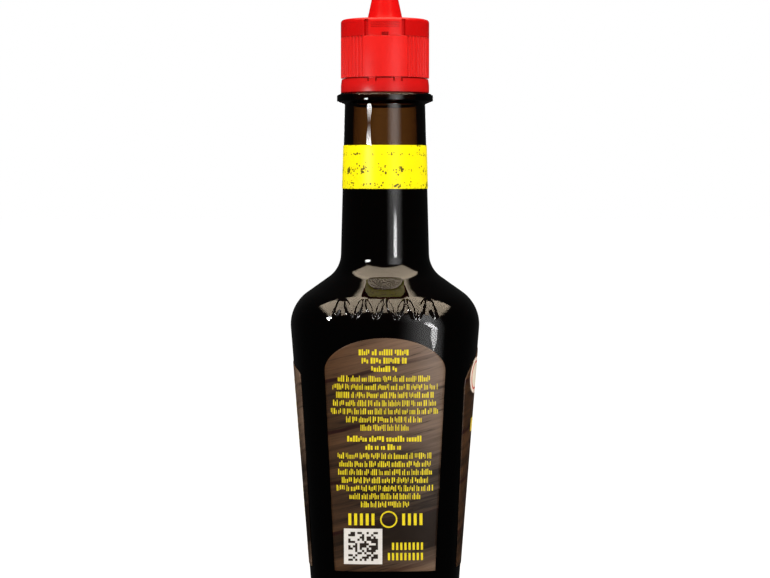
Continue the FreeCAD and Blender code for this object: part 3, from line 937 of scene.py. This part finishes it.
# %% [markdown]
# ## The main label
# The main label shows the boards with a pale plaque on them, edged in red. The plaque is left bare,
# over plain yellow bars. It is drawn by formulas on the flat label: the distance from a rounded
# rectangle is below zero inside it and grows outside it, so one number gives both field and edge.

# %% Main label finish
def rectangle_distance(x, y, half_wide, half_tall, corner):
    """Distance from a rounded rectangle: below zero inside."""
    dx = (x.abs() - (half_wide - corner)).math("MAXIMUM", 0.0)
    dy = (y.abs() - (half_tall - corner)).math("MAXIMUM", 0.0)
    return (dx * dx + dy * dy).math("SQRT") - corner


plaque_z, plaque_half_wide, plaque_half_tall, plaque_corner, bar_corner = 57.2, 13.9, 4.4, 4.3, 0.6
plaque_rings = ((0.0, (0.80, 0.74, 0.72)), (-0.9, (0.62, 0.012, 0.010)), (-1.35, (0.86, 0.84, 0.78)))
bars = ((45.0, 10.3, 1.7), (40.4, 5.0, 0.8), (15.0, 5.0, 0.9))   # (level, half width, half height)
bar_yellow, print_blur = (0.86, 0.66, 0.04), 0.12


def main_label():
    """Boards, then the plaque's pale rim, red line and field, then the bars."""
    material, tree, shader = material_with("main_label", 0.36, 0.5)
    where = flat_mm(tree)
    colour, height = wood_colour(tree, where)
    x, z, _ = pieces_of(tree, where)
    plaque = rectangle_distance(x, z - plaque_z, plaque_half_wide, plaque_half_tall, plaque_corner)
    layers = [(plaque, edge, tone) for edge, tone in plaque_rings]
    for level, wide, tall in bars:
        layers.append((rectangle_distance(x, z - level, wide, tall, bar_corner), 0.0, bar_yellow))
    for distance, edge, tone in layers:
        colour = blended(tree, distance.below(edge, print_blur), colour, tone)
    coloured(tree, shader, colour)
    dented(tree, shader, height, 0.004)
    return material


main_rows = arch_rows(13.3, 16.3, 7.9, 10.5)
label_main = label_sheet("label_main_sheet", main_rows, 90, main_label())

# %% [markdown]
# ## The small print
# The print stands here as rows of plain dashes, with no lettering. Each dash is one thin block, and
# there are hundreds, so they are instances of one small mesh: the lesson's rows give each dash its
# place and size, the tree sets the blocks on the flat label and wraps them with the paper.

# %% Print tree
def print_tree():
    """Tree that sets a thin block on each point of a flat drawing and wraps the result."""
    tree, given = shape_tree("wrapped_print", Ink=0.04, Lift=0.15, Side=0.0, Material=None)
    block = add_node(tree, "GeometryNodeMeshCube")
    wide, tall, turn = (attribute(tree, label) for label in ("wide", "tall", "turn"))
    blocks = add_node(tree, "GeometryNodeInstanceOnPoints", {
        "Points": given["Geometry"], "Instance": block.outputs["Mesh"],
        "Rotation": place(tree, 0.0, turn, 0.0), "Scale": place(tree, wide, given["Ink"], tall)})
    real = add_node(tree, "GeometryNodeRealizeInstances", {0: blocks.outputs[0]})
    end_tree(tree, wrapped(tree, real.outputs[0], given["Lift"], given["Side"]), given["Material"])
    return tree


block_tree = print_tree()
ink_height = 0.04


def ink(name, colour):
    """Printing ink, a little uneven."""
    material, tree, shader = material_with(name, 0.4, 0.3)
    patch = noise(tree, object_mm(tree), 1.2, detail=3.0)
    coloured(tree, shader, blended(tree, patch, tuple(c * 0.8 for c in colour), colour))
    return material


def printed(name, marks, side_deg, material, lift=0.15):
    """Marks of (across, up, wide, tall, turn) as one mesh of printed blocks."""
    across, up, wide, tall, turn = zip(*marks)
    points = loose_points(name, [(x, 0.0, z) for x, z in zip(across, up)], wide=wide, tall=tall, turn=turn)
    return facing_out(run_tree(name, points, block_tree, ink=ink_height, lift=lift,
                               side=math.radians(side_deg), material=material))


# %% Rows of dashes
def dash_row(dice, z, wide, tall=1.5, dash=(0.13, 0.30), gap=0.19, word=0.48):
    """Dashes that fill a centred row of the given width, in words of a few dashes."""
    marks = []
    x = -wide / 2
    left_in_word = dice.randint(3, 8)
    while x < wide / 2 - dash[0]:
        length = min(dice.uniform(*dash), wide / 2 - x)
        high = tall * dice.choice((0.62, 0.66, 0.70, 0.95, 1.0))
        shift = dice.choice((-0.4, -0.4, -0.4, 0.3)) * (tall - high)
        marks.append((x + length / 2, z + shift, length, high, 0.0))
        left_in_word -= 1
        x += length + (gap if left_in_word else word)
        if left_in_word == 0:
            left_in_word = dice.randint(2, 8)
    return marks


def paragraph(dice, top_z, lines, wide, pitch=1.98):
    """Centred rows of dashes; the last two are shorter."""
    rows = []
    for i in range(lines):
        share = {lines - 2: 0.78, lines - 1: 0.5}.get(i, 1)
        rows += dash_row(dice, top_z - i * pitch, wide * dice.uniform(0.86, 1.0) * share)
    return rows


def heading(dice, z, wide):
    return dash_row(dice, z, wide, tall=1.45, dash=(0.28, 0.56), gap=0.18, word=0.6)


def spaced(middle, count, pitch=1.0):
    """Places at an even pitch about a middle."""
    return [middle + (i - (count - 1) / 2) * pitch for i in range(count)]


def strokes(places, z, wide=0.52, tall=1.8):
    """Equal strokes, in the place of numbers."""
    return [(x, z, wide, tall, 0.0) for x in places]


def ring(middle, z, radius=1.9, count=28):
    """A thin ring of small blocks, each turned along it."""
    turns = [2 * math.pi * k / count for k in range(count)]
    return [(middle + radius * math.cos(t), z + radius * math.sin(t), 0.5, 0.36, 0.5 * math.pi - t)
            for t in turns]


def tiles(middle, z, wide, tall, count, dice=None):
    """A patch cut into tiles, which follow the curve of the glass. Dice keep about half of them."""
    across, up = wide / count, tall / count
    return [(x, level, across, up, 0.0) for x in spaced(middle, count, across)
            for level in spaced(z, count, up) if dice is None or dice.random() < 0.54]


# %% Small print on the narrow sides
quantity_z, patch_x, patch_z = 23.2, -5.3, 16.5


def small_print(dice):
    """Yellow marks of a narrow side: headings, two paragraphs, quantity row and numbers."""
    marks = heading(dice, 64.0, 12.6) + heading(dice, 62.0, 11.2) + heading(dice, 60.0, 6.6)
    marks += paragraph(dice, 57.6, 7, 26.0)
    marks += heading(dice, 43.0, 18.2) + heading(dice, 41.0, 9.4)
    marks += paragraph(dice, 38.8, 7, 23.6)
    marks += strokes((-8.5, -7.1, -5.7, -4.3, -2.9, 4.5, 5.9, 7.3, 8.7), quantity_z, 0.72, 2.9)
    marks += ring(0.9, quantity_z)
    return marks + strokes(spaced(5.45, 8), 16.55) + strokes(spaced(4.95, 9), 14.0)


yellow_ink = ink("yellow_ink", (0.78, 0.68, 0.004))
white_ink = ink("white_ink", (0.72, 0.76, 0.83))
dark_ink = ink("dark_ink", (0.02, 0.014, 0.012))
prints = []
for letter, side in (("a", 0), ("b", 180)):
    squares = tiles(patch_x, patch_z, 7.2, 7.2, 13, random.Random(3))
    prints += [printed(f"print_rows_{letter}", small_print(random.Random(7)), side, yellow_ink),
               printed(f"print_patch_{letter}", tiles(patch_x, patch_z, 9.3, 8.8, 8), side, white_ink),
               printed(f"print_modules_{letter}", squares, side, dark_ink, lift=0.165)]

# %% Print at the rear
rear_dice = random.Random(21)
rear_marks = heading(rear_dice, 55.4, 10.0) + heading(rear_dice, 53.0, 12.0)
rear_marks += paragraph(rear_dice, 49.4, 8, 12.6)
rear_marks += heading(rear_dice, 31.2, 10.0) + paragraph(rear_dice, 28.4, 6, 12.4)
rear_marks += dash_row(rear_dice, 13.6, 11.0, tall=1.3)
prints.append(printed("print_rows_rear", rear_marks, -90, yellow_ink))

# %% [markdown]
# ## Every piece takes its place
# Nothing here moves against the rest, so all pieces ride on the one body. Each main piece stands for
# a solid of the model.

# %% Riding and replacing
for piece, node, slot in ((bottle, "bottle", "amber_glass"), (sauce, "sauce", "sauce"),
                          (closure, "closure", "red_plastic"), (lid, "lid", "lid_plastic"),
                          (band, "neck_band", "yellow_film"), (label_a, "label_side_a", "label_film"),
                          (label_b, "label_side_b", "label_film"), (label_rear, "label_rear", "label_film"),
                          (label_main, "label_main", "label_film")):
    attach(piece, "root")
    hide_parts(node)
for piece in prints:
    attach(piece, "root")

# %% [markdown]
# ## Floor, background and light
# Glass is drawn by what it reflects and what lies behind it. A bright background behind the bottle
# makes the neck glow; dim surroundings in front keep the body black, with clean highlights from a
# few soft lamps. Light Path tells the rays apart: the eye and rays through glass see white, and
# reflected rays see the background much dimmer, as it stands behind and beside the bottle. Two near
# lamps draw the narrow highlights and stay off matt surfaces. A warm ceiling lights everything and
# shows as the broad fields on the shoulder.

# %% Background
background_glow, floor_glow, reflected_share, ambient = 1.0, 1.12, 0.02, 0.42


def seen_rays(tree):
    """Light Path as fields: rays of the eye or straight through glass, and mirrored rays."""
    path = tree.nodes.new("ShaderNodeLightPath")
    eye, glass, mirror, bounces = (Field(tree, path.outputs[label]) for label in (
        "Is Camera Ray", "Is Transmission Ray", "Is Glossy Ray", "Glossy Depth"))
    mirrored = bounces.above(0.5)
    return eye.math("MAXIMUM", glass * (1 - mirrored)), mirror.math("MAXIMUM", mirrored)


world = bpy.data.worlds.new("studio")
bpy.context.scene.world = world
world.use_nodes = True
sky = world.node_tree
eye_rays, mirror_rays = seen_rays(sky)
other = 1 - eye_rays.math("MAXIMUM", mirror_rays)
strength = eye_rays * background_glow + mirror_rays * (1 - eye_rays) * reflected_share + other * ambient
connect(sky, (1, 1, 1, 1), sky.nodes["Background"].inputs["Color"])
connect(sky, strength, sky.nodes["Background"].inputs["Strength"])

# %% Floor
def pale_floor():
    """Pale floor that keeps the shadow, nearly as white to the eye as the background."""
    eye_share = 0.85
    material, tree, shader = material_with("pale_floor", 0.9, 0.0)
    coloured(tree, shader, blended(tree, noise(tree, object_mm(tree), 0.004), (0.83,) * 3, (0.86,) * 3))
    eye_rays, mirror_rays = seen_rays(tree)
    white = add_node(tree, "ShaderNodeEmission", {"Strength": floor_glow})
    dim = add_node(tree, "ShaderNodeEmission", {"Strength": reflected_share})
    lit = add_node(tree, "ShaderNodeMixShader",
                   {0: eye_rays * eye_share, 1: shader.outputs[0], 2: white.outputs[0]})
    both = add_node(tree, "ShaderNodeMixShader",
                    {0: mirror_rays * (1 - eye_rays), 1: lit.outputs[0], 2: dim.outputs[0]})
    tree.links.new(both.outputs[0], tree.nodes["Material Output"].inputs["Surface"])
    return material


bpy.ops.mesh.primitive_plane_add(size=8)
floor = bpy.context.object
floor.name = "floor"
floor.data.materials.append(pale_floor())

# %% Lamps
lamp_aim = Vector((0, 0, 0.09))


def soft_lamp(name, azimuth_deg, elevation_deg, distance, wide, tall, brightness, shape="RECTANGLE"):
    """Soft box at an azimuth (0 is the front, 90 the right) that looks at the bottle's middle."""
    azimuth, elevation = math.radians(azimuth_deg), math.radians(elevation_deg)
    away = Vector((math.sin(azimuth) * math.cos(elevation), -math.cos(azimuth) * math.cos(elevation),
                   math.sin(elevation)))
    light = bpy.data.lights.new(name, "AREA")
    light.shape = shape
    light.size, light.size_y = wide, tall
    light.energy = brightness * math.pi * wide * tall
    lamp = new_object(name, light)
    lamp.location = lamp_aim + away * distance
    lamp.rotation_euler = away.to_track_quat("Z", "Y").to_euler()
    lamp.visible_camera = False
    return lamp


def ramp(field, low, high):
    """A smooth step of a field from 0 at one value to 1 at another."""
    return ((field - low) / (high - low)).clamped().smooth()


def shaded(lamp, formula):
    """Varies a lamp over its face, by its place from -1 to 1 across and from 0 to 1 up."""
    lamp.data.use_nodes = True
    tree = lamp.data.node_tree
    across, up, _ = pieces_of(tree, tree.nodes.new("ShaderNodeNewGeometry").outputs["Parametric"])
    connect(tree, formula(across * 2 - 1, up), tree.nodes["Emission"].inputs["Strength"])


strip_core, strip_half, strip_lean = 10.0, 0.17, 0.24


def hot_strip(across, up):
    """A dim box with a bright upright strip, which has a pointed foot and leans a little."""
    middle = ramp(up, 0.56, 0.40) * strip_lean
    edge = ramp(up, 0.225, 0.29) * strip_half - (across - middle).abs()
    strength = ramp(up, 0.225, 0.26) * 0.6 + ramp(up, 0.30, 0.46) * 0.4
    strip = ramp(edge, -0.02, 0.05) * strength * ramp(up, 0.615, 0.565) * strip_core
    glow = (1 - across.abs()).clamped().smooth() * (ramp(up, 0.58, 0.68) * 0.6 + 1)
    return (strip + glow) * ramp(up, 1.0, 0.95)


def soft_edges(across, up):
    """Fades a soft box over the outer fifth of each side."""
    return ramp(across.abs(), 1.0, 0.8) * ramp((up * 2 - 1).abs(), 1.0, 0.8)


# Each lamp has its name, azimuth, elevation, distance, width, height and brightness; the sizes are in metres.
right_box = soft_lamp("right_box", 25.6, -2.8, 0.111, 0.094, 0.161, 1.6)
shaded(right_box, hot_strip)
left_lamp = soft_lamp("left_lamp", -43.3, 16.7, 0.093, 0.021, 0.0195, 30.0, shape="ELLIPSE")
shaded(left_lamp, lambda across, up: ramp(up, 0.95, 0.45))
left_lamp.visible_transmission = False
for lamp in (right_box, left_lamp):
    lamp.visible_diffuse = False
top_box = soft_lamp("top_box", 0, 78.2, 0.43, 0.84, 0.585, 4.9)
top_box.data.color = (1.0, 0.83, 0.62)
shaded(top_box, soft_edges)
rear_strip = soft_lamp("rear_strip", 180, 8, 0.80, 0.12, 0.20, 5.0)
rear_strip.visible_transmission = False
print("lamps:", [lamp.name for lamp in (right_box, left_lamp, top_box, rear_strip)])

# %% Camera
camera_data = bpy.data.cameras.new("camera")
camera_data.lens, camera_data.sensor_width = 93.5, 36.0
camera = new_object("camera", camera_data)
pitch, aim_z, camera_distance = math.radians(3.35), 0.0778, 0.500
camera.location = (0, -camera_distance * math.cos(pitch), aim_z + camera_distance * math.sin(pitch))
camera.rotation_euler = (math.pi / 2 - pitch, 0, 0)
bpy.context.scene.camera = camera
bpy.context.scene.view_settings.view_transform = "Standard"
print("camera at", [round(v, 3) for v in camera.location])
